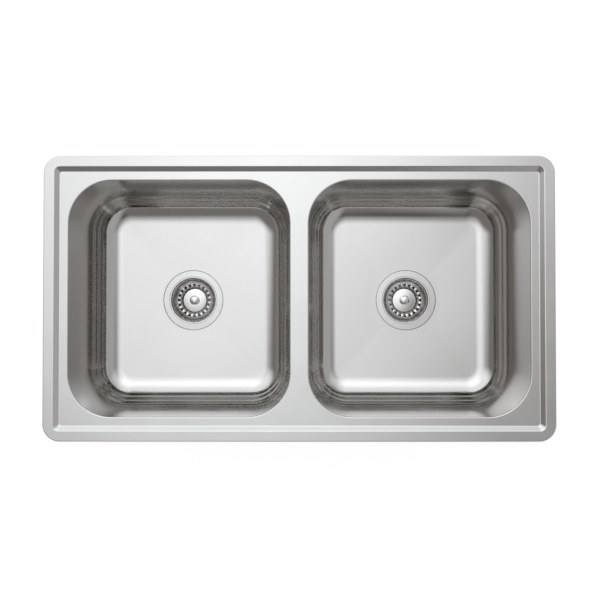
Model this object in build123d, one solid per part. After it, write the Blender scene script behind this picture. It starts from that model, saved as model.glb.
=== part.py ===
from build123d import *
from math import asin, cos, radians, sin, sqrt, tan
import os

# Deck and bowl openings, in millimetres
bowl_length = 377.0  # one opening along X
bowl_width = 402.0  # one opening along Y
bowl_depth = 175.0  # deck to bowl floor
bowl_corner = 75.0
bridge = 28.0  # deck between the two openings
border = 39.0  # from an opening to the sink's outer edge
sheet = 1.0  # stainless sheet
bend_flats = 2  # flats that make the rim's bend

# Raised rim and its fall to the recessed deck
rim_height = 7.5  # rim above the worktop
rim_flat = 17.5  # outer edge to the top of the fall
rim_bend = 3.0  # turned-down outer edge
lip_gap = 0.5  # turned-down lip to the worktop
fall_run = 9.5
fall_drop = 5.0
deck_lead = 1.0  # flat deck carried round with the rim
deck_corner = 1.0  # inner corner of that flat

# Edge of each opening, where deck and bowl are welded
edge_roll = 2.0  # bevel from the deck down to the weld
bevel = 45.0
edge_land = 3.0  # flat deck carried round with the bevel

# Bowl wall, from the weld down to the floor
wall_draft = 8.5
ring_height = 50.0  # upper ring above the floor
ring_ledge = 4.0
ring_lead = 2.0  # flat ring carried round with the riser
riser_run = 3.5
riser_height = 8.0
dish_radius = 50.0  # floor's edge, curved up to the basin wall
dish_run = 31.0
dish_flats = 3  # flats that make the curve
corner_flats = 6  # flats that turn a corner of the basin
floor_lead = 2.0  # flat floor carried round with the dish
floor_corner = 24.0  # corner of the flat floor

# Rim seal and sound pads
seal_gap = 1.0  # seal to the bend of the rim
seal_width = 9.0
pad_length = 190.0
pad_thick = 3.0
pad_chamfer = 10.0
pad_margin = 12.0  # pad to the end of the flat floor
pad_gap = 8.0  # pad to the ring nut

# Strainer cup in the bowl floor
flange_radius = 57.0
flange_thick = 1.2
mouth_radius = 41.8
ledge_depth = 14.0  # bowl floor to the basket's ledge
ledge_radius = 35.0
cup_radius = 32.5
cup_depth = 38.0
cup_wall = 3.0
neck_radius = 44.0
neck_depth = 22.0
hole_gap = 1.0  # neck to the hole in the floor
outlet_bore = 18.5
outlet_radius = 23.9
outlet_length = 28.0

# Gasket and ring nut under the floor
gasket_thick = 3.0
gasket_radius = 55.0
nut_height = 12.0
nut_radius = 55.0  # across the corners
nut_sides = 8
thread_gap = 0.05
turned_sides = 24  # flats round the small turned and moulded pieces

# Basket that lifts out of the cup
bars = 20
bar_width = 5.0
bar_thick = 1.2
basket_sheet = 0.8
basket_gap = 0.5  # basket rim to the funnel
basket_seat = 0.3  # basket rim above its ledge
basket_rim = 2.6
basket_fall = 8.0  # rim to the foot of the bars
basket_foot = 25.6  # radius at the foot of the bars
basket_drum = 7.0  # straight wall below the bars
cap_radius = 22.2
cap_thick = 1.6
cap_fall = 1.0  # slope round the cap's top
cap_slope = 9.0
cap_drop = 9.0  # ledge to the cap's top
knob_radius = 9.0
knob_sides = 16
knob_neck = 5.0
knob_rise = 11.0
knob_head = 6.0
knob_chamfer = 3.0
stem_radius = 3.5
stem_gap = 0.05
stopper_radius = 23.5
stopper_thick = 5.0

# Worktop clips: welded lug, screw and swinging arm
lug_sheet = 2.0
lug_width = 24.0
lug_clear = 2.0  # lug to the edge of the opening
lug_foot = 10.0  # welded flange
lug_shelf = 20.0  # flange with the threaded hole
lug_height = 26.0
screw_radius = 3.0
screw_sides = 8
screw_reach = 13.0  # back of the lug to the screw
screw_gap = 0.05
screw_stand = 1.0  # screw's end above the lug's shelf
head_flats = 10.0
head_height = 4.0
worktop_thick = 44.0  # thickest worktop that the arms reach under
arm_length = 25.0
arm_tail = 8.0
arm_width = 14.0
arm_sheet = 3.0
arm_hole_gap = 0.2
claw_height = 10.0

# Sizes that follow from the ones above
sink_length = 2 * (bowl_length + border) + bridge
sink_width = bowl_width + 2 * border
bowl_pitch = bowl_length + bridge
deck_top = rim_height - fall_drop
deck_under = deck_top - sheet
weld_height = deck_top - edge_roll
floor_top = deck_top - bowl_depth
ring_top = floor_top + ring_height
rim_sweep = rim_flat + fall_run + deck_lead
rim_corner = rim_sweep + deck_corner
basin_inset = edge_roll + wall_draft
basin_sweep = riser_run + ring_ledge + dish_run + floor_lead
ring_inset = basin_inset + ring_ledge
ring_corner = basin_sweep + floor_corner
wall_corner = bowl_corner - edge_roll
floor_inset = ring_inset + basin_sweep
floor_half = bowl_width / 2 - floor_inset
hole_radius = neck_radius + hole_gap
lug_back = border - lug_clear
screw_inset = lug_back - screw_reach
shelf_top = deck_under - lug_height + lug_sheet
arm_top = -worktop_thick - claw_height
arm_under = arm_top - arm_sheet
half_length, half_width = sink_length / 2, sink_width / 2


def quarter(x, z, radius, way, flats):
    """Quarter bend about a point, turned in flats from straight out to straight up or down."""
    turns = [radians(90 * n / flats) for n in range(flats + 1)]
    return [(x + radius * cos(turn), z + way * radius * sin(turn)) for turn in turns]


def sheet_strip(line):
    """Section of sheet below the visible line, which runs inwards."""
    line = [Vector(*point) for point in line]
    normals = [(b - a).normalized().rotate(Axis.Z, 90) for a, b in zip(line, line[1:])]
    below = []
    for point, before, after in zip(line, normals[:1] + normals, normals + normals[-1:]):
        below.append(point + (before + after) * (sheet / (1 + before.dot(after))))
    return Plane.XZ * make_face(Polyline(*line, *reversed(below), close=True))


def sides(length, width, corner):
    """Start frame, run and end frame of each side of a rounded rectangle, with x outwards."""
    x, y = length / 2 - corner, width / 2 - corner
    starts = [(x, -y), (x, y), (-x, y), (-x, -y)]
    for number, (start, end) in enumerate(zip(starts, starts[1:] + starts[:1])):
        turn = Rot(0, 0, 90 * number)
        yield Pos(*start) * turn, (Vector(*end) - Vector(*start)).length, Pos(*end) * turn


def carry_round(section, length, width, corner):
    """Carry a section, drawn outwards from a corner's centre, round a rounded rectangle."""
    turn = revolve(section, Axis.Z, 90)
    pieces = []
    for start, run, end in sides(length, width, corner):
        pieces += [start * extrude(section, run, dir=(0, 1, 0)), end * turn]
    return Part() + pieces


def plate(length, width, corner, top, thick):
    """Rounded plate hanging down from the given height."""
    return extrude(Pos(0, 0, top) * RectangleRounded(length, width, corner), -thick)


def prism(radius, count, bottom, top):
    """Many-sided upright rod or disc."""
    return extrude(Pos(0, 0, bottom) * RegularPolygon(radius, count), top - bottom)


def sink_deck():
    rim = [
        (rim_corner, lip_gap),
        *quarter(rim_corner - rim_bend, rim_height - rim_bend, rim_bend, 1, bend_flats),
        (rim_corner - rim_flat, rim_height),
        (rim_corner - rim_flat - fall_run, deck_top),
        (deck_corner, deck_top),
    ]
    roll = Polyline(
        (bowl_corner + edge_land, deck_top),
        (bowl_corner, deck_top),
        (wall_corner, weld_height),
        (wall_corner + sheet, weld_height),
        (bowl_corner + sheet * tan(radians(bevel / 2)), deck_under),
        (bowl_corner + edge_land, deck_under),
        close=True,
    )
    edge_ring = carry_round(Plane.XZ * make_face(roll), bowl_length, bowl_width, bowl_corner)
    opening = plate(
        bowl_length + 2 * edge_land,
        bowl_width + 2 * edge_land,
        bowl_corner + edge_land,
        deck_top,
        sheet,
    )
    flat = plate(sink_length - 2 * rim_sweep, sink_width - 2 * rim_sweep, deck_corner, deck_top, sheet)
    places = [Pos(side * bowl_pitch / 2, 0) for side in (-1, 1)]
    flat -= [place * opening for place in places]
    rim_ring = carry_round(sheet_strip(rim), sink_length, sink_width, rim_corner)
    return Part() + [rim_ring, flat] + [place * edge_ring for place in places]


def bowl_wall():
    """Drafted wall from the weld to the upper ring, with the same corner radius all the way down."""
    fall = weld_height - ring_top
    arc = Pos(0, 0, weld_height) * (Circle(wall_corner + sheet) - Circle(wall_corner))
    corner_ring = extrude(
        arc & Pos(0, 0, weld_height) * Rectangle(2 * wall_corner, 2 * wall_corner, align=Align.MIN),
        sqrt(2 * wall_draft**2 + fall**2),
        dir=(-wall_draft, -wall_draft, -fall),
    )
    length, width = bowl_length - 2 * edge_roll, bowl_width - 2 * edge_roll
    pieces = []
    for start, run, end in sides(length, width, wall_corner):
        panel = Polyline(
            (wall_corner, 0, weld_height),
            (wall_corner, run, weld_height),
            (wall_corner - wall_draft, run - wall_draft, ring_top),
            (wall_corner - wall_draft, wall_draft, ring_top),
            close=True,
        )
        pieces += [start * extrude(make_face(panel), sheet, dir=(1, 0, 0)), end * corner_ring]
    return pieces


def faceted_line(length, width, corner):
    """Rounded rectangle with its corners turned in flats, from the middle of the right side."""
    points = [Vector(length / 2, 0)]
    for start, run, end in sides(length, width, corner):
        points += [(end * Pos(x, y)).position for x, y in quarter(0, 0, corner, 1, corner_flats)]
    return Polyline(*points, close=True)


def drawn_plate(line, outwards, top):
    """Flat sheet inside a closed line that is moved outwards or inwards."""
    outline = offset(make_face(line), outwards, kind=Kind.INTERSECTION)
    return extrude(Pos(0, 0, top) * outline, -sheet)


def dish(x, z):
    """Curve from the basin wall in to the floor, turned in flats."""
    steepest = asin(dish_run / dish_radius)
    turns = [steepest * (1 - n / dish_flats) for n in range(dish_flats + 1)]
    return [(x + dish_radius * sin(turn), z + dish_radius * (1 - cos(turn))) for turn in turns]


def bowl():
    """One drawn bowl, centred on the Z axis."""
    basin_floor = floor_corner + floor_lead
    basin = [
        (ring_corner + ring_lead, ring_top),
        (ring_corner, ring_top),
        (ring_corner - riser_run, ring_top - riser_height),
        (basin_floor + dish_run, ring_top - riser_height),
        *dish(basin_floor, floor_top),
        (floor_corner, floor_top),
    ]
    ring_length, ring_width = bowl_length - 2 * ring_inset, bowl_width - 2 * ring_inset
    ring_line = faceted_line(ring_length, ring_width, ring_corner)
    section = Pos(ring_length / 2 - ring_corner, 0) * sheet_strip(basin)
    basin_ring = sweep(section, ring_line, transition=Transition.RIGHT)
    ledge_outer = basin_inset - sheet
    ledge = plate(
        bowl_length - 2 * ledge_outer,
        bowl_width - 2 * ledge_outer,
        wall_corner + sheet,
        ring_top,
        sheet,
    )
    ledge -= drawn_plate(ring_line, ring_lead, ring_top)
    floor = drawn_plate(ring_line, -basin_sweep, floor_top)
    floor -= prism(hole_radius, turned_sides, floor_top - sheet, floor_top)
    return Part() + bowl_wall() + [ledge, basin_ring, floor]


def rim_seal():
    height = rim_height - sheet
    outer, inner = (
        plate(sink_length - 2 * inset, sink_width - 2 * inset, rim_corner - inset, height, height)
        for inset in (rim_bend + seal_gap, rim_bend + seal_gap + seal_width)
    )
    return outer - inner


def sound_pads():
    """Two chamfered pads under one bowl floor, in front of the strainer and behind it."""
    near = nut_radius + pad_gap
    far = floor_half + floor_lead - pad_margin
    blank = chamfer(Rectangle(pad_length, far - near).vertices(), pad_chamfer)
    pad = extrude(Pos(0, (near + far) / 2, floor_top - sheet) * blank, -pad_thick)
    return [pad, mirror(pad, Plane.XZ)]


def strainer_body():
    """Flanged cup with its outlet, measured down from the bowl floor."""
    outside = cup_radius + cup_wall
    foot = cup_depth + cup_wall
    end = cup_depth + outlet_length
    outline = Polyline(
        (flange_radius, 0),
        (flange_radius, flange_thick),
        (mouth_radius, flange_thick),
        (ledge_radius, -ledge_depth),
        (cup_radius, -ledge_depth),
        (cup_radius, -cup_depth),
        (outlet_bore, -cup_depth),
        (outlet_bore, -end),
        (outlet_radius, -end),
        (outlet_radius, -foot),
        (outside, -foot),
        (outside, -neck_depth),
        (neck_radius, -neck_depth),
        (neck_radius, 0),
        close=True,
    )
    return revolve(Plane.XZ * make_face(outline), Axis.Z)


def floor_gasket():
    top = -sheet
    inner = prism(hole_radius, turned_sides, top - gasket_thick, top)
    return prism(gasket_radius, turned_sides, top - gasket_thick, top) - inner


def ring_nut():
    top = -sheet - gasket_thick
    thread = RegularPolygon(neck_radius + thread_gap, turned_sides, major_radius=False)
    return extrude(Pos(0, 0, top) * (RegularPolygon(nut_radius, nut_sides) - thread), -nut_height)


def basket_cage():
    """Flat rim, sloping bars and the drum that they run down to."""
    under = basket_seat - ledge_depth
    foot = under - basket_fall
    base = foot - basket_drum
    rim_out = ledge_radius - basket_gap
    rim_in = rim_out - basket_rim
    rim = prism(rim_out, bars, under, under + basket_sheet) - prism(rim_in, bars, under, 0)
    drum = prism(basket_foot, bars, base, foot)
    drum -= prism(basket_foot - basket_sheet, bars, base + basket_sheet, 0)
    drum -= prism(stem_radius + stem_gap, screw_sides, base, 0)
    brim = under + basket_sheet
    drum_in = basket_foot - basket_sheet
    slope = Polyline(
        (rim_in, brim), (drum_in, foot), (drum_in, foot - bar_thick), (rim_in, brim - bar_thick), close=True
    )
    bar = extrude(Plane.XZ * make_face(slope), bar_width / 2, both=True)
    return rim + [Rot(0, 0, 360 * (n + 0.5) / bars) * bar for n in range(bars)] + drum


def lift_cap():
    """Cap with its knob above and its stem below."""
    top = -ledge_depth - cap_drop
    crown = top + knob_rise
    disc = prism(cap_radius, turned_sides, top - cap_thick, top)
    flat = disc.faces().sort_by(Axis.Z)[-1]
    head = prism(knob_radius, knob_sides, crown - knob_head, crown)
    return Part() + [
        prism(stem_radius, screw_sides, stopper_thick - cup_depth, top),
        chamfer(flat.edges(), cap_slope, cap_fall, reference=flat),
        prism(knob_neck, screw_sides, top, crown - knob_head),
        chamfer(head.faces().sort_by(Axis.Z)[-1].edges(), knob_chamfer),
    ]


def stopper():
    return prism(stopper_radius, turned_sides, -cup_depth, stopper_thick - cup_depth)


def clip_lug():
    """Welded bracket, with x running inwards from the sink's outer edge."""
    shelf_under = shelf_top - lug_sheet
    section = Polyline(
        (lug_back - lug_foot, deck_under),
        (lug_back, deck_under),
        (lug_back, shelf_under),
        (lug_back - lug_shelf, shelf_under),
        (lug_back - lug_shelf, shelf_top),
        (lug_back - lug_sheet, shelf_top),
        (lug_back - lug_sheet, deck_under - lug_sheet),
        (lug_back - lug_foot, deck_under - lug_sheet),
        close=True,
    )
    lug = extrude(Plane.XZ * make_face(section), lug_width / 2, both=True)
    return lug - Pos(screw_inset, 0) * prism(screw_radius + screw_gap, screw_sides, shelf_under, shelf_top)


def clip_screw():
    head = RegularPolygon(head_flats / 2, 6, major_radius=False)
    screw = prism(screw_radius, screw_sides, arm_under, shelf_top + screw_stand)
    return Pos(screw_inset, 0) * (screw + extrude(Pos(0, 0, arm_under) * head, -head_height))


def clip_arm():
    """Arm tucked along the sink's side, with its claw at the far end."""
    section = Polyline(
        (-arm_tail, arm_under),
        (arm_length, arm_under),
        (arm_length, arm_top + claw_height),
        (arm_length - arm_sheet, arm_top + claw_height),
        (arm_length - arm_sheet, arm_top),
        (-arm_tail, arm_top),
        close=True,
    )
    arm = extrude(Plane.XZ * make_face(section), arm_width / 2, both=True)
    hole = 2 * (screw_radius + arm_hole_gap)
    arm -= Pos(0, 0, arm_top) * Box(hole, hole, 4 * arm_sheet)
    return Pos(screw_inset, 0) * Rot(0, 0, 90) * arm


def save(name, *solids):
    export_step(solids[0] if len(solids) == 1 else Compound(solids), f"parts/{name}.step")


os.makedirs("parts", exist_ok=True)
bowl_places = {"left": Pos(-bowl_pitch / 2, 0), "right": Pos(bowl_pitch / 2, 0)}
wastes = {side: place * Pos(0, 0, floor_top) for side, place in bowl_places.items()}
clip_places = {
    "front_left": Pos(-bowl_pitch / 2, -half_width) * Rot(0, 0, 90),
    "front_right": Pos(bowl_pitch / 2, -half_width) * Rot(0, 0, 90),
    "rear_left": Pos(-bowl_pitch / 2, half_width) * Rot(0, 0, -90),
    "rear_right": Pos(bowl_pitch / 2, half_width) * Rot(0, 0, -90),
    "left_end": Pos(-half_length, 0),
    "right_end": Pos(half_length, 0) * Rot(0, 0, 180),
}

save("sink_deck", sink_deck())
save("rim_seal", rim_seal())
save("strainer_bodies", *(waste * strainer_body() for waste in wastes.values()))
save("floor_gaskets", *(waste * floor_gasket() for waste in wastes.values()))
save("ring_nuts", *(waste * ring_nut() for waste in wastes.values()))
save("clip_lugs", *(place * clip_lug() for place in clip_places.values()))
for side, place in bowl_places.items():
    save(f"{side}_bowl", place * bowl())
    save(f"{side}_sound_pads", *(place * pad for pad in sound_pads()))
    save(f"{side}_basket_cage", wastes[side] * basket_cage())
    save(f"{side}_lift_cap", wastes[side] * lift_cap())
    save(f"{side}_stopper", wastes[side] * stopper())
for name, place in clip_places.items():
    save(f"{name}_clip_screw", place * clip_screw())
    save(f"{name}_clip_arm", place * clip_arm())
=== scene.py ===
from math import copysign, cos, pi, radians, sin, sqrt, tan

import bmesh
import bpy
from mathutils import Matrix, Vector


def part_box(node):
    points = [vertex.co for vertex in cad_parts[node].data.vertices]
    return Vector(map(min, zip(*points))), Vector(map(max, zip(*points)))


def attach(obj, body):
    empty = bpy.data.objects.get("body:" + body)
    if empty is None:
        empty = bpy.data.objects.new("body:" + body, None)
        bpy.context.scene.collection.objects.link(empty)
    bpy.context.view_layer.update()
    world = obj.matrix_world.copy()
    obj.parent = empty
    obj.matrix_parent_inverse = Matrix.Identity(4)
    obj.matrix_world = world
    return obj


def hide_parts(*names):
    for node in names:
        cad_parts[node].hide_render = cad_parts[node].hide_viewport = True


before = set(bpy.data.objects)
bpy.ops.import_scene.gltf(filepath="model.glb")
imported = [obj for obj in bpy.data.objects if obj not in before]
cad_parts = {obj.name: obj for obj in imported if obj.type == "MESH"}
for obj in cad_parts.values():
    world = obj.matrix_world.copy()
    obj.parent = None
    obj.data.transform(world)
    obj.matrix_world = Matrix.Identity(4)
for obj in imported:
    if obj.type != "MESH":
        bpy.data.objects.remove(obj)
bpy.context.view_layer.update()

# Lengths are in millimetres until a mesh is finished
MM = 0.001
CORNER_STEPS = 18  # steps round each rounded corner
SIDE_STEPS = 10  # steps along each straight side
TURN_STEPS = 96  # steps round a turned piece
SCREW_STEPS = 24  # steps round a screw's thread
BEND_STEPS = 8  # steps round a bend in a profile
FLOOR_STEPS = 8  # steps from the edge of a bowl's floor to its strainer
DOME_STEPS = 12  # steps from the edge of a cap's dome to its knob
KNOB_STEPS = 16  # steps over a knob's domed top
BAR_SIDES = 14  # sides of a bar's section
HOLD = 0.4  # short step that keeps a flat's shading flat next to a bend
TOUCH = 1e-4  # points closer than this are one
SEAM = 1.0  # stretch that closes a section, in the middle of its foot
AXIS = 0.3  # small hole left on the axis of a turned piece, closed by a flat face
SHEET = 1.0  # stainless sheet of the deck and the bowls


def box(node):
    """Lowest and highest corner of a CAD node, in millimetres."""
    return [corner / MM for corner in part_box(node)]


# Places and sizes read from the frame
half_length, half_width, rim_top = box("sink_deck")[1]
bowl_low, bowl_high = box("left_bowl")
strainer_low = box("strainer_bodies")[0]
nut_low, nut_high = box("ring_nuts")
lug_low = box("clip_lugs")[0]
seal_low, seal_high = box("rim_seal")
weld_z = bowl_high.z
floor_z = bowl_low.z + SHEET
wall_half_x = (bowl_high.x - bowl_low.x) / 2 - SHEET
wall_half_y = bowl_high.y - SHEET
left_x = (bowl_low.x + bowl_high.x) / 2
bowl_places = {"left": left_x, "right": -left_x}

# Deck, from the outer edge inwards
RIM_CORNER = 29.0
RIM_BEND = 1.6
RIM_FOOT = 0.5  # foot of the turned-down edge
FALL_START = 18.0  # slope from the rim down to the inner deck
FALL_END = 25.8
FALL_BEND = 3.0
FALL_CORNERS = (9.5, 5.0)  # corner radius at the top and at the foot of the fall
DECK_START = 28.5
EDGE_ROLL = 2.0  # bend of the deck's edge down to a bowl
EDGE_LAND = 3.0  # flat deck carried round a bowl
deck_z = weld_z + EDGE_ROLL
deck_under = deck_z - SHEET

# Bowl, from the weld down to the floor
BOWL_CORNER = 75.0
WALL_DRAFT = 7.8  # how far the wall leans in above the rings
RINGS = 2
RING_HEIGHT = 51.0  # upper ring above the floor
RING_RUN = 4.5
RING_FALL = 4.9
RISER_RUN = 2.0
RISER_FALL = 4.1
RING_BEND = 2.4
BASIN_RUN = 1.5  # draft of the basin wall under the rings
BASIN_BEND = 3.0
DISH_SLOPE = 38.5  # floor's edge, where it meets the basin wall
DISH_RISE = 11.4
DISH_RADIUS = 48.0
FLOOR_INSET = 60.0
FLOOR_SLOPE = 1.0  # fall of the floor to its strainer
RECESS = 1.2  # depth of the strainer's seat, pressed in the floor
RECESS_SLOPE = 1.3  # from the flange's edge to the top of the seat's slope
RECESS_FOOT = 0.5  # from the flange's edge to the foot of the seat's slope
SEAT_LAND = 2.0  # flat floor carried round the seat
HOLE_RADIUS = 45.0

# Strainer cup, with heights above the bowl floor
FLANGE_RADIUS = 56.0
FLANGE_TOP = 0.4
FLANGE_BEND = 0.3
BEAD_RADIUS = 45.4  # inner edge of the flange, raised a little
BEAD_RISE = 0.2
LIP_OUTER = 44.7  # narrow lip inside the bead, lowered a little
LIP_INNER = 42.6
LIP_DROP = 0.3
LIP_BEND = 0.6
MOUTH_STEPS = ((41.0, -3.4), (39.7, -5.0), (38.4, -8.0), (37.3, -9.6))  # radius and height of each bend
MOUTH_BEND = 0.5
LEDGE_RADIUS = 36.4  # outer edge of the ledge that carries the basket
LEDGE_Z = -14.0
LEDGE_BEND = 0.8
CUP_RADIUS = 32.5
CUP_WALL = 3.0
CUP_Z = -38.0
CUP_BEND = 3.0
SHELL_BEND = 4.0  # outside of the cup's foot
OUTLET_BORE = 18.5
OUTLET_RADIUS = 23.9
OUTLET_BEND = 1.0
OUTLET_CORNER = 0.5
OUTLET_PLAIN = 2.0  # plain band between the outlet's thread and the cup
NECK_RADIUS = 44.0
NECK_Z = -22.0
NECK_BEND = 1.0
NECK_CHAMFER = (1.0, 0.6)  # run and rise
NECK_GAP = 0.4  # from the neck's thread to the floor
THREAD_PITCH = 2.3
THREAD_DEPTH = 0.8

# Gaskets and ring nuts
GASKET_RADIUS = 55.0
GASKET_BEND = 0.8
GASKET_BORE_BEND = 0.4
NUT_SIDES = 8
NUT_CHAMFER = 1.0
NUT_BLUNT = 0.8  # taken off the nut's corners
NUT_GAP = 0.1  # from the nut's bore to the neck

# Basket, with its rim's and bars' heights above the rim's foot
BASKET_LIFT = 0.3  # rim's foot above the ledge
BASKET_RIM = ((32.2, -0.6), (32.4, 0.0), (36.2, 0.0), (36.9, 3.6), (31.6, -1.0))  # radius and height
BARS = 20
BAR_BENDS = ((31.9, -1.3, 0), (26.3, -2.4, 2.5), (25.2, -5.0, 2.0))  # radius, height and bend
BAR_SHARE = 0.76  # share of the ring that the bars fill
BAR_THICK = 1.0
BAR_ROUNDING = 0.5  # power that swells a bar's round section to a pillow
BAR_END = 29.5  # where the rounded outer end of a bar starts
BAR_TAPER = 0.95  # how far the outer end narrows, where 1 would close it
BAR_LAP = 0.8  # how far a bar reaches down in the drum's wall
CAGE_FOOT = 25.6
CAGE_SHEET = 0.8
DRUM_HEIGHT = 7.0
DRUM_BEND = 6.0
DRUM_EDGE = 0.3

# Cap and knob
DOME_Z = -21.35  # top of the dome above the bowl floor
CAP_RADIUS = 22.2
CAP_RISE = 1.6  # height of the cap's dome
CAP_EDGE = 0.9  # height of the cap's edge
CAP_LIP = 0.05  # edge below the foot of the dome
CAP_BEND = 0.2
DOME_START = 21.8  # radius of the dome at the cap's edge
DOME_END = 8.0  # radius of the dome at the knob's neck
KNOB_NECK = 5.4
KNOB_NECK_DROP = 0.05  # neck's foot below the top of the dome
KNOB_NECK_BENDS = (2.4, 0.5)  # at the dome and under the knob
KNOB_RADIUS = 9.0
KNOB_SLOPE = 27.0  # slope of the knob's domed top at its edge
KNOB_EDGE = 1.6  # height of the knob's rounded edge
KNOB_EDGE_RUN = 0.4
KNOB_BEND = 0.3
STEM_RADIUS = 3.5
STEM_CORNER = 0.5
STEM_BEND = 1.0

# Stopper, from its foot up
STOPPER_RADIUS = 23.5
HOLLOW_RADIUS = 15.0
HOLLOW_DEPTH = 0.5
HOLLOW_SLOPE = 1.0
HOLLOW_BEND = 0.4
STOPPER_SIDE = (  # inset, height and bend of each corner
    (0, 0, 0.8),
    (0, 1.7, 0.4),
    (1.2, 2.2, 0.3),
    (1.2, 3.2, 0.3),
    (0.3, 4.0, 0.5),
)
STOPPER_TAPER = 3.0
STOPPER_BEND = 1.0

# Foam seal and sound pads
SEAL_WIDTH = 9.0
SEAL_BEND = 1.2
PAD_GAP = 8.0  # from the ring nut to the pads beside it
PAD_CUT = 10.0
PAD_EDGE = 0.8

# Clips, measured from the screw's axis with x towards the bowl
CLIP_TURNS = {
    "front_left": 90,
    "front_right": 90,
    "rear_left": -90,
    "rear_right": -90,
    "left_end": 0,
    "right_end": 180,
}
LUG_REACH = 13.0
LUG_FOOT = 10.0
LUG_SHELF = 20.0
LUG_SHEET = 2.0
LUG_WIDTH = 24.0
LUG_BEND = 4.0
ARM_LENGTH = 25.0
ARM_TAIL = 8.0
ARM_WIDTH = 14.0
ARM_SHEET = 3.0
ARM_BEND = 4.5
TAIL_WIDTH = 0.98  # share of the arm's width that its rounded tail takes
TEETH = 4
TOOTH = 1.2
SCREW_RADIUS = 3.0
SCREW_PITCH = 1.0
SCREW_DEPTH = 0.45
SCREW_LAP = 0.2  # how far the thread reaches into the head
HEAD_FLATS = 10.0
HEAD_HEIGHT = 4.0
HEAD_SIDES = 6
END_CHAMFER = (0.8, 0.6)  # run and rise at the screw's two ends
SHANK_CHAMFER = (0.5, 0.3)  # run and rise of the head's edge at the shank
CLIP_EDGE = 0.4  # rounding of the lugs' and arms' edges
EDGE_STEPS = 2
EDGE_ANGLE = 45  # least angle of an edge that is rounded

# Stage and camera
STAGE_GAP = 0.5  # floor below the outlets
STAGE_RADIUS = 6000
STAGE_BEND = 1500
BACKDROP_RADIUS = 6600
BACKDROP_HEIGHT = 1900
STAGE_GREY = 0.8  # in the light that the stage throws back
STAGE_GLOW = 0.9
STAGE_SHADE = 0.2  # share that shows the sink's shadow
SENSOR = 36
LENS = 46.5
CAMERA_PLACE = (0.0045, -0.0267, 1.3055)  # in metres
CAMERA_TILT = 1.05  # forwards, in degrees
CAMERA_LEAN = 0.14  # sideways, in degrees

# Light in the room: direction, cosine at the light's edge, cosine where it would be full, full brightness
LIGHTS = {
    "overhead": ((-0.031, -0.146, 0.989), 0.88, 1.198, 2.4),
    "above the rear": ((-0.036, 0.443, 0.896), 0.9, 1.2, 2.4),
    "wide at the rear": ((-0.154, 0.614, 0.775), 0.561, 0.984, 1.336),
    "low at the right": ((0.969, -0.246, 0.019), 0.256, 0.556, 0.532),
    "low at the front left": ((-0.878, -0.477, 0.019), 0.073, 0.393, 0.201),
}
ROOM_LIGHT = 0.06
ROOM_TONE = (1.0, 0.95, 0.91)
KEY_TONE = (0.955, 0.975, 1.0)


# Profiles
def rounded(corners):
    """Profile through (across, up, radius) corners, each turned in an arc of its radius."""
    runs = []
    last = len(corners) - 1
    for index, (x, z, radius) in enumerate(corners):
        here = Vector((x, z))
        if radius == 0 or index in (0, last):
            runs.append([here])
            continue
        back = (Vector(corners[index - 1][:2]) - here).normalized()
        ahead = (Vector(corners[index + 1][:2]) - here).normalized()
        half = back.angle(ahead) / 2
        middle = here + (back + ahead).normalized() * (radius / sin(half))
        start = here + back * (radius / tan(half)) - middle
        end = here + ahead * (radius / tan(half)) - middle
        turn = start.angle_signed(end)
        runs.append([])
        for step in range(BEND_STEPS + 1):
            spoke = start.copy()
            spoke.rotate(Matrix.Rotation(-turn * step / BEND_STEPS, 2))
            runs[-1].append(middle + spoke)
    points = runs[0]
    for run in runs[1:]:
        straight = run[0] - points[-1]
        if straight.length > 3 * HOLD:
            hold = straight.normalized() * HOLD
            points += [points[-1] + hold, run[0] - hold]
        points += run[1:] if straight.length < TOUCH else run
    return points


def offset(line, distance):
    """The line moved to its right by a distance, with mitred corners."""
    normals = []
    for a, b in zip(line, line[1:]):
        along = (b - a).normalized()
        normals.append(Vector((along.y, -along.x)))
    moved = []
    for point, before, after in zip(line, normals[:1] + normals, normals + normals[-1:]):
        moved.append(point + (before + after) * (distance / (1 + before.dot(after))))
    return moved


def block_section(outer, inner, low, high, outer_bend, inner_bend):
    """Closed section of a flat ring with rounded edges, from the middle of its foot."""
    middle = (outer + inner) / 2
    return rounded(
        [
            (middle, low, 0),
            (outer, low, outer_bend),
            (outer, high, outer_bend),
            (inner, high, inner_bend),
            (inner, low, inner_bend),
            (middle + copysign(SEAM, inner - outer), low, 0),
        ]
    )


def ridges(radius, depth, start, end, pitch):
    """Thread ridges of a turned profile, from one height to another."""
    count = round(abs(end - start) / pitch)
    points = []
    for n in range(count):
        points.append(Vector((radius, start + (end - start) * n / count)))
        points.append(Vector((radius - depth, start + (end - start) * (n + 0.5) / count)))
    return points + [Vector((radius, end))]


# Loops of points
def rounded_loop(x0, half_x, half_y, corner, z):
    """Rounded rectangle, anticlockwise from the rear end of its right side."""
    points = []
    for quarter, (side_x, side_y) in enumerate(((1, 1), (-1, 1), (-1, -1), (1, -1))):
        cx = x0 + side_x * (half_x - corner)
        cy = side_y * (half_y - corner)
        for step in range(CORNER_STEPS + 1):
            turn = pi / 2 * (quarter + step / CORNER_STEPS)
            points.append((cx + corner * cos(turn), cy + corner * sin(turn), z))
        half_side = (half_x if quarter % 2 == 0 else half_y) - corner
        along = Vector((-side_y, 0, 0)) if quarter % 2 == 0 else Vector((0, side_x, 0))
        start = Vector(points[-1])
        for step in range(1, SIDE_STEPS):
            points.append(tuple(start + along * (2 * half_side * step / SIDE_STEPS)))
    return points


def rim_loop(inset, z):
    """Loop round the deck, with the corners of the rim and its fall."""
    start, end = FALL_CORNERS
    if inset < FALL_START:
        corner = RIM_CORNER + (start - RIM_CORNER) * inset / FALL_START
    else:
        corner = start + (end - start) * min(1, (inset - FALL_START) / (FALL_END - FALL_START))
    return rounded_loop(0, half_length - inset, half_width - inset, corner, z)


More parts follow.
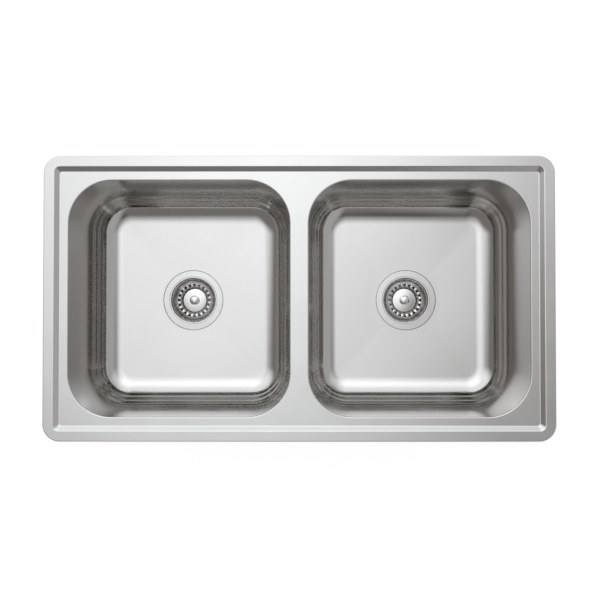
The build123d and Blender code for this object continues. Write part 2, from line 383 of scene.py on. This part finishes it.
def bowl_loop(x0, inset, z):
    """Loop round a bowl, drawn in from the top of its wall."""
    return rounded_loop(x0, wall_half_x - inset, wall_half_y - inset, BOWL_CORNER - EDGE_ROLL - inset, z)


def circle(x0, radius, z, steps=TURN_STEPS):
    """Level circle about an upright axis."""
    turns = [2 * pi * step / steps for step in range(steps)]
    return [(x0 + radius * cos(turn), radius * sin(turn), z) for turn in turns]


# Meshes
def add_loops(bm, loops, closed=False, ends=False):
    """Quads from each loop to the next, with UV lengths in metres along and across the loops."""
    layer = bm.loops.layers.uv.get("brush") or bm.loops.layers.uv.new("brush")
    rows = [[bm.verts.new(point) for point in points] for points in loops]
    count = len(rows[0])
    runs = [0.0]
    for n in range(count):
        runs.append(runs[-1] + (rows[0][n].co - rows[0][(n + 1) % count].co).length * MM)
    across = 0.0
    for above, below in zip(rows, rows[1:] + (rows[:1] if closed else [])):
        step = (above[0].co - below[0].co).length * MM
        for n in range(count):
            m = (n + 1) % count
            face = bm.faces.new((above[n], above[m], below[m], below[n]))
            places = ((n, 0), (n + 1, 0), (n + 1, step), (n, step))
            for corner, (column, shift) in zip(face.loops, places):
                corner[layer].uv = (runs[column], across + shift)
        across += step
    if ends:
        bm.faces.new(rows[0])
        bm.faces.new(rows[-1])
    return rows


def fill(bm, rows):
    """Flat sheet between an outer loop and the loops inside it."""
    edges = [bm.edges.get((row[n - 1], row[n])) for row in rows for n in range(len(row))]
    bmesh.ops.triangle_fill(bm, use_beauty=True, edges=edges)


def lathe(bm, profile, x0, z0, closed=True, steps=TURN_STEPS):
    """Turned piece from a profile of (radius, height) points."""
    loops = [circle(x0, radius, z0 + height, steps) for radius, height in profile]
    add_loops(bm, loops, closed, ends=not closed)


def strip(bm, sections, places):
    """Bar through closed (x, z) sections at places along Y."""
    add_loops(bm, [[(x, y, z) for x, z in section] for section, y in zip(sections, places)], ends=True)


def flat_uv(bm, least=0.97):
    """Lay the UV of level faces straight along X and Y."""
    layer = bm.loops.layers.uv["brush"]
    for face in bm.faces:
        if abs(face.normal.z) > least:
            for corner in face.loops:
                corner[layer].uv = corner.vert.co.xy * MM


def mesh_object(name, bm, material):
    """Smooth object in metres from a mesh in millimetres, which it uses up."""
    bm.transform(Matrix.Scale(MM, 4))
    mesh = bpy.data.meshes.new(name)
    bm.to_mesh(mesh)
    bm.free()
    mesh.shade_smooth()
    mesh.materials.append(material)
    thing = bpy.data.objects.new(name, mesh)
    bpy.context.scene.collection.objects.link(thing)
    return thing


def make_piece(name, bm, material, body, node, sharp=50):
    """Piece that rides a body in the place of a CAD node, with edges sharp from an angle in degrees."""
    bmesh.ops.recalc_face_normals(bm, faces=bm.faces[:])
    flat_uv(bm)
    piece = mesh_object(name, bm, material)
    piece.data.set_sharp_from_angle(angle=radians(sharp))
    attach(piece, body)
    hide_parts(node)
    return piece


def soften(piece, width):
    """Small rounding on the piece's edges."""
    bevel = piece.modifiers.new("soft edges", "BEVEL")
    bevel.width = width * MM
    bevel.segments = EDGE_STEPS
    bevel.limit_method = "ANGLE"
    bevel.angle_limit = radians(EDGE_ANGLE)


# Materials
def add_node(tree, kind, inputs, **settings):
    """Shader node with its settings, and with inputs that are values or other nodes' sockets."""
    node = tree.nodes.new(f"ShaderNode{kind}")
    for name, value in settings.items():
        setattr(node, name, value)
    for name, value in inputs.items():
        if isinstance(value, bpy.types.NodeSocket):
            tree.links.new(value, node.inputs[name])
        else:
            node.inputs[name].default_value = value
    return node


class Surface:
    """A Principled material and the nodes that vary it."""

    NOISE_RANGE = {"From Min": 0.3, "From Max": 0.7}  # values that noise mostly takes

    def __init__(self, name, colour, roughness, metallic=0.0, anisotropy=0.0):
        self.material = bpy.data.materials.new(name)
        self.material.use_nodes = True
        self.tree = self.material.node_tree
        self.shader = self.tree.nodes["Principled BSDF"]
        self.colour = colour
        self.roughness = roughness
        self.shader.inputs["Base Color"].default_value = (*colour, 1)
        self.shader.inputs["Roughness"].default_value = roughness
        self.shader.inputs["Metallic"].default_value = metallic
        if anisotropy:
            self.shader.inputs["Anisotropic"].default_value = anisotropy
            tangent = self.add("Tangent", {}, direction_type="UV_MAP", uv_map="brush")
            self.feed(tangent.outputs[0], "Tangent")

    def add(self, kind, inputs, **settings):
        """Node in the material, as add_node makes it."""
        return add_node(self.tree, kind, inputs, **settings)

    def feed(self, output, name):
        """Link an output to an input of the shader."""
        self.tree.links.new(output, self.shader.inputs[name])

    def scaled(self, source, scale):
        """Texture place in cells, from cells per metre along each axis."""
        place = self.add("TexCoord", {}).outputs[source]
        return self.add("Mapping", {"Vector": place, "Scale": scale}).outputs[0]

    def noise(self, source, scale):
        """Noise in cells per metre along each axis."""
        inputs = {"Vector": self.scaled(source, scale), "Scale": 1.0, "Detail": 3.0}
        return self.add("TexNoise", inputs).outputs["Fac"]

    def lines(self, along, across):
        """Noise drawn out along the UV's first axis, in cells per metre."""
        return self.noise("UV", (along, across, 1))

    def grain(self, cells):
        """Even noise, in cells per metre."""
        return self.noise("Object", (cells,) * 3)

    def pores(self, cells):
        """Distance from the middle of rounded cells, in cells per metre."""
        inputs = {"Vector": self.scaled("Object", (cells,) * 3), "Scale": 1.0}
        return self.add("TexVoronoi", inputs).outputs["Distance"]

    def tint(self, amount, spread):
        """Base colour, darker and lighter than the named colour by a share."""
        darker, lighter = [
            (*(channel * (1 + way * spread) for channel in self.colour), 1) for way in (-1, 1)
        ]
        mix = self.add("Mix", {0: amount, 6: darker, 7: lighter}, data_type="RGBA")
        self.feed(mix.outputs[2], "Base Color")

    def gloss(self, amount, spread):
        """Roughness, lower and higher than the named one by the spread."""
        limits = {"To Min": self.roughness - spread, "To Max": self.roughness + spread}
        spread_out = self.add("MapRange", {"Value": amount, **self.NOISE_RANGE, **limits})
        self.feed(spread_out.outputs[0], "Roughness")

    def bump(self, height, strength, depth):
        """Relief of a depth in millimetres."""
        relief = self.add("Bump", {"Height": height, "Strength": strength, "Distance": depth * MM})
        self.feed(relief.outputs[0], "Normal")


def brushed_steel(name, colour, roughness, anisotropy, relief):
    """Satin sheet with fine brushing and faint handling marks."""
    steel = Surface(name, colour, roughness, metallic=1.0, anisotropy=anisotropy)
    brushing = steel.lines(along=40, across=2200)
    steel.tint(brushing, spread=0.05)
    steel.gloss(steel.grain(14), spread=0.03)
    steel.bump(brushing, strength=0.05, depth=relief)
    return steel.material


def turned_steel(name, colour, roughness):
    """Polished steel with the fine lines of turning."""
    steel = Surface(name, colour, roughness, metallic=1.0, anisotropy=0.3)
    turning = steel.lines(along=15, across=3000)
    steel.tint(turning, spread=0.04)
    steel.gloss(steel.grain(90), spread=0.03)
    steel.bump(turning, strength=0.1, depth=0.01)
    return steel.material


def plated_steel(name, colour, roughness):
    """Zinc-plated steel with its mottled crystals."""
    steel = Surface(name, colour, roughness, metallic=1.0)
    steel.tint(steel.pores(420), spread=0.22)
    steel.gloss(steel.grain(260), spread=0.1)
    steel.bump(steel.grain(1500), strength=0.15, depth=0.05)
    return steel.material


def moulded(name, colour, roughness, grain, relief):
    """Rubber or plastic with a moulded grain of cells per metre."""
    body = Surface(name, colour, roughness)
    body.tint(body.grain(60), spread=0.15)
    body.gloss(body.grain(grain / 4), spread=0.08)
    body.bump(body.grain(grain), strength=0.4, depth=relief)
    return body.material


def foam(name, colour, roughness):
    """Closed-cell foam strip."""
    body = Surface(name, colour, roughness)
    pores = body.pores(900)
    body.tint(pores, spread=0.3)
    body.gloss(pores, spread=0.06)
    body.bump(pores, strength=0.7, depth=0.3)
    return body.material


# Materials in use, with relief in millimetres and grain in cells per metre
deck_steel = brushed_steel("deck_steel", (0.59, 0.582, 0.57), roughness=0.18, anisotropy=0.3, relief=0.02)
# The bowls' colour is the deck's stainless tone set a little darker. This is painted shade that darkens the
# bowl walls through their repeated reflections.
bowl_steel = brushed_steel("bowl_steel", (0.565, 0.555, 0.54), roughness=0.13, anisotropy=0.0, relief=0.004)
strainer_steel = turned_steel("strainer_steel", (0.57, 0.562, 0.55), roughness=0.2)
basket_steel = turned_steel("basket_steel", (0.6, 0.592, 0.58), roughness=0.16)
cap_steel = turned_steel("cap_steel", (0.64, 0.632, 0.62), roughness=0.14)
lug_steel = plated_steel("lug_steel", (0.55, 0.56, 0.57), roughness=0.42)
clip_steel = plated_steel("clip_steel", (0.62, 0.61, 0.56), roughness=0.34)
seal_foam = foam("seal_foam", (0.045, 0.046, 0.048), roughness=0.85)
pad_rubber = moulded("pad_rubber", (0.06, 0.062, 0.065), roughness=0.75, grain=700, relief=0.25)
black_rubber = moulded("black_rubber", (0.018, 0.018, 0.019), roughness=0.55, grain=1200, relief=0.08)
nut_plastic = moulded("nut_plastic", (0.62, 0.62, 0.6), roughness=0.42, grain=1600, relief=0.05)


# Deck and bowls
def build_deck():
    """Pressed deck with a raised rim, and an edge rolled down to each bowl."""
    bm = bmesh.new()
    line = rounded(
        [
            (0, RIM_FOOT, 0),
            (0, rim_top, RIM_BEND),
            (FALL_START, rim_top, FALL_BEND),
            (FALL_END, deck_z, FALL_BEND),
            (DECK_START, deck_z, 0),
        ]
    )
    rim = add_loops(bm, [rim_loop(*point) for point in line[::-1] + offset(line, SHEET)])
    edge = rounded([(-EDGE_LAND, deck_z, 0), (EDGE_ROLL, deck_z, EDGE_ROLL), (EDGE_ROLL, weld_z, 0)])
    section = edge + offset(edge, SHEET)[::-1]
    openings = [
        add_loops(bm, [bowl_loop(x0, inset - EDGE_ROLL, z) for inset, z in section])
        for x0 in bowl_places.values()
    ]
    for end in (0, -1):
        fill(bm, [rim[end]] + [opening[end] for opening in openings])
    make_piece("deck", bm, deck_steel, "sink", "sink_deck")


def wall_line(land):
    """Profile of a bowl as (inset, height) points, from the weld in to the edge of the flat floor."""
    inset, z = WALL_DRAFT, floor_z + RING_HEIGHT
    corners = [(0, weld_z, 0), (inset, z, RING_BEND)]
    for _ in range(RINGS):
        corners.append((inset + RING_RUN, z - RING_FALL, RING_BEND))
        inset, z = inset + RING_RUN + RISER_RUN, z - RING_FALL - RISER_FALL
        corners.append((inset, z, RING_BEND))
    basin_inset = inset + BASIN_RUN
    dish_inset = basin_inset + DISH_RISE / tan(radians(DISH_SLOPE))
    slope = tan(radians(FLOOR_SLOPE))
    edge_z = floor_z + slope * (wall_half_x - FLOOR_INSET - land)
    dish_z = edge_z + slope * (FLOOR_INSET - dish_inset)
    corners += [
        (basin_inset, dish_z + DISH_RISE, BASIN_BEND),
        (dish_inset, dish_z, DISH_RADIUS),
        (FLOOR_INSET, edge_z, 0),
    ]
    return rounded(corners)


def build_bowl(side, x0):
    """Drawn bowl with rings low in its wall, a dished floor edge and a seat for its strainer."""
    bm = bmesh.new()
    land = FLANGE_RADIUS + RECESS_SLOPE + SEAT_LAND
    line = wall_line(land)
    inside = [bowl_loop(x0, *point) for point in line]
    outside = [bowl_loop(x0, *point) for point in offset(line, SHEET)]
    middle = Vector((x0, 0, 0))
    spokes = [(Vector((x, y, 0)) - middle).normalized() for x, y, _ in inside[-1]]

    def ring(radius, z):
        return [tuple(middle + spoke * radius + Vector((0, 0, z))) for spoke in spokes]

    seat = ring(land, floor_z)
    floor = [
        [tuple(Vector(a).lerp(Vector(b), step / FLOOR_STEPS)) for a, b in zip(inside[-1], seat)]
        for step in range(1, FLOOR_STEPS)
    ]
    floor += [
        seat,
        ring(FLANGE_RADIUS + RECESS_SLOPE, floor_z),
        ring(FLANGE_RADIUS + RECESS_FOOT, floor_z - RECESS),
        ring(HOLE_RADIUS, floor_z - RECESS),
    ]
    under = [[(x, y, z - SHEET) for x, y, z in loop] for loop in floor]
    add_loops(bm, inside + floor + under[::-1] + outside[::-1], closed=True)
    make_piece(f"{side}_bowl_sheet", bm, bowl_steel, "sink", f"{side}_bowl")


# Strainer cups, gaskets and ring nuts
def build_strainers():
    """Turned cups with a flange and a stepped mouth above, and threads on the neck and the outlet."""
    bm = bmesh.new()
    end = strainer_low.z - floor_z
    outside = CUP_RADIUS + CUP_WALL
    inside = rounded(
        [
            (HOLE_RADIUS, -RECESS, 0),
            (FLANGE_RADIUS, -RECESS, 0),
            (FLANGE_RADIUS, FLANGE_TOP, FLANGE_BEND),
            (BEAD_RADIUS, FLANGE_TOP + BEAD_RISE, FLANGE_BEND),
            (LIP_OUTER, FLANGE_TOP - LIP_DROP, FLANGE_BEND),
            (LIP_INNER, FLANGE_TOP - LIP_DROP, LIP_BEND),
            *((radius, z, MOUTH_BEND) for radius, z in MOUTH_STEPS),
            (LEDGE_RADIUS, LEDGE_Z, MOUTH_BEND),
            (CUP_RADIUS, LEDGE_Z, LEDGE_BEND),
            (CUP_RADIUS, CUP_Z, CUP_BEND),
            (OUTLET_BORE, CUP_Z, OUTLET_BEND),
            (OUTLET_BORE, end, 0),
        ]
    )
    foot = CUP_Z - CUP_WALL
    outlet = ridges(OUTLET_RADIUS, THREAD_DEPTH, end, foot - OUTLET_PLAIN, THREAD_PITCH)
    chamfer_run, chamfer_rise = NECK_CHAMFER
    shell = rounded(
        [
            (OUTLET_RADIUS, foot - OUTLET_PLAIN / 2, 0),
            (OUTLET_RADIUS, foot, OUTLET_CORNER),
            (outside, foot, SHELL_BEND),
            (outside, NECK_Z, NECK_BEND),
            (NECK_RADIUS - chamfer_run, NECK_Z, 0),
        ]
    )
    neck_top = -RECESS - SHEET - NECK_GAP
    neck = ridges(NECK_RADIUS, THREAD_DEPTH, NECK_Z + chamfer_rise, neck_top, THREAD_PITCH)
    for x0 in bowl_places.values():
        lathe(bm, inside + outlet + shell + neck, x0, floor_z)
    make_piece("strainer_cups", bm, strainer_steel, "sink", "strainer_bodies", sharp=40)


def build_gaskets():
    """Rubber rings between the bowl floors and the ring nuts."""
    bm = bmesh.new()
    top, bottom = -SHEET - RECESS, nut_high.z - floor_z
    section = block_section(GASKET_RADIUS, HOLE_RADIUS, bottom, top, GASKET_BEND, GASKET_BORE_BEND)
    for x0 in bowl_places.values():
        lathe(bm, section, x0, floor_z)
    make_piece("rubber_gaskets", bm, black_rubber, "sink", "floor_gaskets")


def build_ring_nuts():
    """Moulded nuts with flat sides, blunt corners and chamfered edges."""
    bm = bmesh.new()
    half_side = pi / NUT_SIDES
    corner = nut_high.y
    flat = corner * cos(half_side)
    bore = NECK_RADIUS + NUT_GAP
    levels = [
        (NUT_CHAMFER, nut_low.z),
        (0, nut_low.z + NUT_CHAMFER),
        (0, nut_high.z - NUT_CHAMFER),
        (NUT_CHAMFER, nut_high.z),
    ]
    turns = [2 * pi * step / TURN_STEPS for step in range(TURN_STEPS)]
    radii = [min(flat / cos(turn % (2 * half_side) - half_side), corner - NUT_BLUNT) for turn in turns]
    for x0 in bowl_places.values():
        loops = []
        for inset, z in levels:
            sides = zip(radii, turns)
            loops.append([(x0 + (r - inset) * cos(turn), (r - inset) * sin(turn), z) for r, turn in sides])
        loops += [circle(x0, bore, nut_high.z), circle(x0, bore, nut_low.z)]
        add_loops(bm, loops, closed=True)
    make_piece("moulded_ring_nuts", bm, nut_plastic, "sink", "ring_nuts", sharp=25)


# Baskets that lift out
def heights(node):
    """Lowest and highest point of a CAD node, above the bowl floor."""
    return [corner.z - floor_z for corner in box(node)]


def bar_loops(path):
    """Pillow-shaped sections along a bar's (radius, height) path, narrowed to a rounded outer end."""
    loops = []
    for middle, edge in zip(path, offset(path, BAR_THICK)):
        end = max(0, middle.x - BAR_END) / (path[0].x - BAR_END)
        half_wide = middle.x * tan(pi / BARS) * BAR_SHARE * sqrt(1 - BAR_TAPER * end**2)
        loop = []
        for step in range(BAR_SIDES):
            turn = 2 * pi * step / BAR_SIDES
            swell = copysign(abs(sin(turn)) ** BAR_ROUNDING, sin(turn))
            place = middle + (edge - middle) * swell
            loop.append(Vector((place.x, half_wide * cos(turn), place.y)))
        loops.append(loop)
    return loops


def build_basket(side, x0):
    """Coned rim that rests on the cup's ledge, a drum at the foot and bars from one to the other."""
    bm = bmesh.new()
    rim_low = LEDGE_Z + BASKET_LIFT
    rim = rounded([(radius, rim_low + z, 0) for radius, z in BASKET_RIM])
    lathe(bm, rim, x0, floor_z)
    cage_low = heights(f"{side}_basket_cage")[0]
    drum_top = cage_low + DRUM_HEIGHT
    drum_in = CAGE_FOOT - CAGE_SHEET
    drum = rounded(
        [
            (STEM_RADIUS, cage_low, 0),
            (CAGE_FOOT, cage_low, DRUM_BEND),
            (CAGE_FOOT, drum_top, DRUM_EDGE),
            (drum_in, drum_top, DRUM_EDGE),
            (drum_in, cage_low + CAGE_SHEET, DRUM_BEND - CAGE_SHEET),
            (STEM_RADIUS, cage_low + CAGE_SHEET, 0),
        ]
    )
    lathe(bm, drum, x0, floor_z)
    path = rounded(
        [
            *((radius, rim_low + z, bend) for radius, z, bend in BAR_BENDS),
            (CAGE_FOOT - CAGE_SHEET / 2, drum_top - BAR_LAP, 0),
        ]
    )
    bar = bar_loops(path)
    for n in range(BARS):
        turn = Matrix.Rotation(2 * pi * (n + 0.5) / BARS, 3, "Z")
        loops = [[turn @ point + Vector((x0, 0, floor_z)) for point in loop] for loop in bar]
        add_loops(bm, loops, ends=True)
    body = f"{side}_basket"
    make_piece(f"{side}_basket_bars", bm, basket_steel, body, f"{side}_basket_cage")


def build_cap(side, x0):
    """Domed cap with a ball knob above and its stem below."""
    bm = bmesh.new()
    cap_low, cap_high = heights(f"{side}_lift_cap")
    edge_z = DOME_Z - CAP_RISE - CAP_LIP
    stem = rounded(
        [
            (AXIS, cap_low, 0),
            (STEM_RADIUS, cap_low, STEM_CORNER),
            (STEM_RADIUS, edge_z - CAP_EDGE, STEM_BEND),
            (CAP_RADIUS, edge_z - CAP_EDGE, CAP_BEND),
            (CAP_RADIUS, edge_z, 0),
        ]
    )
    dome = []
    for step in range(DOME_STEPS + 1):
        radius = DOME_START + (DOME_END - DOME_START) * step / DOME_STEPS
        dome.append(Vector((radius, DOME_Z - CAP_RISE * (radius / CAP_RADIUS) ** 2)))
    slope = radians(KNOB_SLOPE)
    ball = KNOB_RADIUS / sin(slope)
    knob_z = cap_high - ball * (1 - cos(slope))
    dome_bend, knob_bend = KNOB_NECK_BENDS
    neck = rounded(
        [
            (*dome[-1], 0),
            (KNOB_NECK, DOME_Z - KNOB_NECK_DROP, dome_bend),
            (KNOB_NECK, knob_z - KNOB_EDGE, knob_bend),
            (KNOB_RADIUS - KNOB_EDGE_RUN, knob_z - KNOB_EDGE / 2, KNOB_BEND),
            (KNOB_RADIUS, knob_z, 0),
        ]
    )
    knob = []
    for step in range(1, KNOB_STEPS + 1):
        turn = slope * (1 - step / KNOB_STEPS)
        knob.append(Vector((max(AXIS, ball * sin(turn)), cap_high - ball * (1 - cos(turn)))))
    lathe(bm, stem + dome[:-1] + neck + knob, x0, floor_z, closed=False)
    body = f"{side}_basket"
    make_piece(f"{side}_domed_cap", bm, cap_steel, body, f"{side}_lift_cap", sharp=40)


def build_stopper(side, x0):
    """Rubber stopper with a hollow foot and a groove round its side."""
    bm = bmesh.new()
    low, high = heights(f"{side}_stopper")
    section = rounded(
        [
            (AXIS, low + HOLLOW_DEPTH, 0),
            (HOLLOW_RADIUS, low + HOLLOW_DEPTH, HOLLOW_BEND),
            (HOLLOW_RADIUS + HOLLOW_SLOPE, low, HOLLOW_BEND),
            *((STOPPER_RADIUS - inset, low + z, bend) for inset, z, bend in STOPPER_SIDE),
            (STOPPER_RADIUS - STOPPER_TAPER, high, STOPPER_BEND),
            (AXIS, high, 0),
        ]
    )
    lathe(bm, section, x0, floor_z, closed=False)
    body = f"{side}_basket"
    make_piece(f"{side}_rubber_stopper", bm, black_rubber, body, f"{side}_stopper")


# Foam seal and sound pads
def build_seal():
    """Foam strip under the rim."""
    bm = bmesh.new()
    outer = half_length - seal_high.x
    section = block_section(outer, outer + SEAL_WIDTH, seal_low.z, seal_high.z, SEAL_BEND, SEAL_BEND)
    add_loops(bm, [rim_loop(*point) for point in section], closed=True)
    make_piece("foam_seal", bm, seal_foam, "sink", "rim_seal")


def build_pads(side):
    """Two pads with cut corners and a softened lower edge."""
    bm = bmesh.new()
    low, high = box(f"{side}_sound_pads")
    near = nut_high.y + PAD_GAP
    for way in (-1, 1):
        loops = []
        for inset, z in ((PAD_EDGE, low.z), (0, low.z + PAD_EDGE), (0, high.z)):
            x0, x1, y0, y1 = low.x + inset, high.x - inset, near + inset, high.y - inset
            outline = [
                (x0 + PAD_CUT, y0),
                (x1 - PAD_CUT, y0),
                (x1, y0 + PAD_CUT),
                (x1, y1 - PAD_CUT),
                (x1 - PAD_CUT, y1),
                (x0 + PAD_CUT, y1),
                (x0, y1 - PAD_CUT),
                (x0, y0 + PAD_CUT),
            ]
            loops.append([(x, way * y, z) for x, y in outline])
        add_loops(bm, loops, ends=True)
    make_piece(f"{side}_damping_pads", bm, pad_rubber, "sink", f"{side}_sound_pads", sharp=25)


# Worktop clips
def clip_place(name):
    """Matrix from the clip's own frame, on its screw, to the sink's."""
    low, high = box(f"{name}_clip_screw")
    middle = (low + high) / 2
    return Matrix.Translation((middle.x, middle.y, 0)) @ Matrix.Rotation(radians(CLIP_TURNS[name]), 4, "Z")


def build_lugs():
    """Brackets welded under the deck, bent from strip."""
    bm = bmesh.new()
    line = rounded(
        [
            (LUG_REACH - LUG_FOOT, deck_under, 0),
            (LUG_REACH, deck_under, LUG_BEND),
            (LUG_REACH, lug_low.z, LUG_BEND),
            (LUG_REACH - LUG_SHELF, lug_low.z, 0),
        ]
    )
    section = line + offset(line, LUG_SHEET)[::-1]
    for name in CLIP_TURNS:
        one = bmesh.new()
        strip(one, [section, section], [-LUG_WIDTH / 2, LUG_WIDTH / 2])
        one.transform(clip_place(name))
        mesh = bpy.data.meshes.new("one_lug")
        one.to_mesh(mesh)
        one.free()
        bm.from_mesh(mesh)
        bpy.data.meshes.remove(mesh)
    soften(make_piece("bent_lugs", bm, lug_steel, "sink", "clip_lugs", sharp=35), CLIP_EDGE)


def build_screw(name):
    """Hexagon screw with its thread."""
    bm = bmesh.new()
    low, high = box(f"{name}_clip_screw")
    shank = low.z + HEAD_HEIGHT
    corner = HEAD_FLATS / 2 / cos(pi / HEAD_SIDES)
    end_run, end_rise = END_CHAMFER
    shank_run, shank_rise = SHANK_CHAMFER
    levels = [
        (corner - end_run, low.z),
        (corner, low.z + end_rise),
        (corner, shank - shank_rise),
        (corner - shank_run, shank),
    ]
    add_loops(bm, [circle(0, radius, z, HEAD_SIDES) for radius, z in levels], ends=True)
    thread = ridges(SCREW_RADIUS, SCREW_DEPTH, shank - SCREW_LAP, high.z - end_rise, SCREW_PITCH)
    tip = Vector((SCREW_RADIUS - end_run, high.z))
    lathe(bm, thread + [tip], 0, 0, closed=False, steps=SCREW_STEPS)
    bm.transform(clip_place(name))
    body = f"{name}_screw"
    make_piece(f"{name}_hex_screw", bm, clip_steel, body, f"{name}_clip_screw", sharp=35)


def build_arm(name):
    """Bent arm with a rounded tail and a toothed claw."""
    bm = bmesh.new()
    low, high = box(f"{name}_clip_arm")
    half = ARM_WIDTH / 2
    steps = 2 * TEETH
    sections, places = [], []
    for step in range(steps + 1):
        y = half * (2 * step / steps - 1)
        tail = -ARM_TAIL + half - sqrt(half**2 - (TAIL_WIDTH * y) ** 2)
        tip = high.z - TOOTH * (step % 2 == 0)
        line = rounded([(tail, low.z, 0), (ARM_LENGTH, low.z, ARM_BEND), (ARM_LENGTH, tip, 0)])
        sections.append(line + offset(line, -ARM_SHEET)[::-1])
        places.append(y)
    strip(bm, sections, places)
    bm.transform(clip_place(name) @ Matrix.Rotation(pi / 2, 4, "Z"))
    body = f"{name}_arm"
    piece = make_piece(f"{name}_claw_arm", bm, clip_steel, body, f"{name}_clip_arm", sharp=35)
    soften(piece, CLIP_EDGE)


build_deck()
build_strainers()
build_gaskets()
build_ring_nuts()
build_seal()
for bowl_side, bowl_x in bowl_places.items():
    build_bowl(bowl_side, bowl_x)
    build_basket(bowl_side, bowl_x)
    build_cap(bowl_side, bowl_x)
    build_stopper(bowl_side, bowl_x)
    build_pads(bowl_side)
build_lugs()
for clip in CLIP_TURNS:
    build_screw(clip)
    build_arm(clip)


# Stage, light and camera
def stage_white():
    """White with a faint shadow where it is seen or mirrored, and grey to the light that it throws back."""
    white = Surface("stage_white", (STAGE_GREY,) * 3, roughness=0.9)
    path = white.add("LightPath", {}).outputs
    seen = path["Is Camera Ray"]
    for ray in ("Is Glossy Ray", "Is Transmission Ray"):
        seen = white.add("Math", {0: seen, 1: path[ray]}, operation="MAXIMUM").outputs[0]
    glow = white.add("Emission", {"Strength": STAGE_GLOW})
    shade = white.add("BsdfDiffuse", {"Color": (STAGE_SHADE,) * 3 + (1,)})
    pale = white.add("AddShader", {0: glow.outputs[0], 1: shade.outputs[0]})
    mix = white.add("MixShader", {0: seen, 1: white.shader.outputs[0], 2: pale.outputs[0]})
    white.tree.links.new(mix.outputs[0], white.tree.nodes["Material Output"].inputs["Surface"])
    return white.material


def white_stage():
    """White floor that curves up into a low backdrop all round, and keeps the sink's shadow."""
    bm = bmesh.new()
    level = strainer_low.z - STAGE_GAP
    profile = rounded(
        [
            (AXIS, level, 0),
            (STAGE_RADIUS, level, STAGE_BEND),
            (BACKDROP_RADIUS, level + BACKDROP_HEIGHT, 0),
        ]
    )
    add_loops(bm, [circle(0, radius, z) for radius, z in profile])
    mesh_object("stage", bm, stage_white())


def studio_light():
    """Five soft lights in a dim room, warm where it is dim and cool where it is bright."""
    world = bpy.data.worlds.new("studio")
    world.use_nodes = True
    bpy.context.scene.world = world
    tree = world.node_tree
    way = add_node(tree, "TexCoord", {}).outputs["Generated"]
    total = ROOM_LIGHT
    for direction, edge, full, brightness in LIGHTS.values():
        aim = Vector(direction).normalized()
        facing = add_node(tree, "VectorMath", {0: way, 1: aim}, operation="DOT_PRODUCT").outputs["Value"]
        limits = {"From Min": edge, "From Max": full, "To Min": 0.0, "To Max": brightness}
        ramp = add_node(tree, "MapRange", {"Value": facing, **limits}, interpolation_type="SMOOTHSTEP")
        total = add_node(tree, "Math", {0: total, 1: ramp.outputs["Result"]}, operation="ADD").outputs[0]
    tone = add_node(tree, "Mix", {0: total, 6: (*ROOM_TONE, 1), 7: (*KEY_TONE, 1)}, data_type="RGBA")
    background = tree.nodes["Background"]
    tree.links.new(tone.outputs[2], background.inputs["Color"])
    tree.links.new(total, background.inputs["Strength"])


def photo_camera():
    """Camera that looks almost straight down on the sink."""
    data = bpy.data.cameras.new("camera")
    data.sensor_width = SENSOR
    data.lens = LENS
    camera = bpy.data.objects.new("camera", data)
    bpy.context.scene.collection.objects.link(camera)
    camera.location = CAMERA_PLACE
    camera.rotation_euler = (radians(CAMERA_TILT), radians(CAMERA_LEAN), 0)
    bpy.context.scene.camera = camera


white_stage()
studio_light()
photo_camera()
bpy.context.scene.view_settings.view_transform = "Standard"
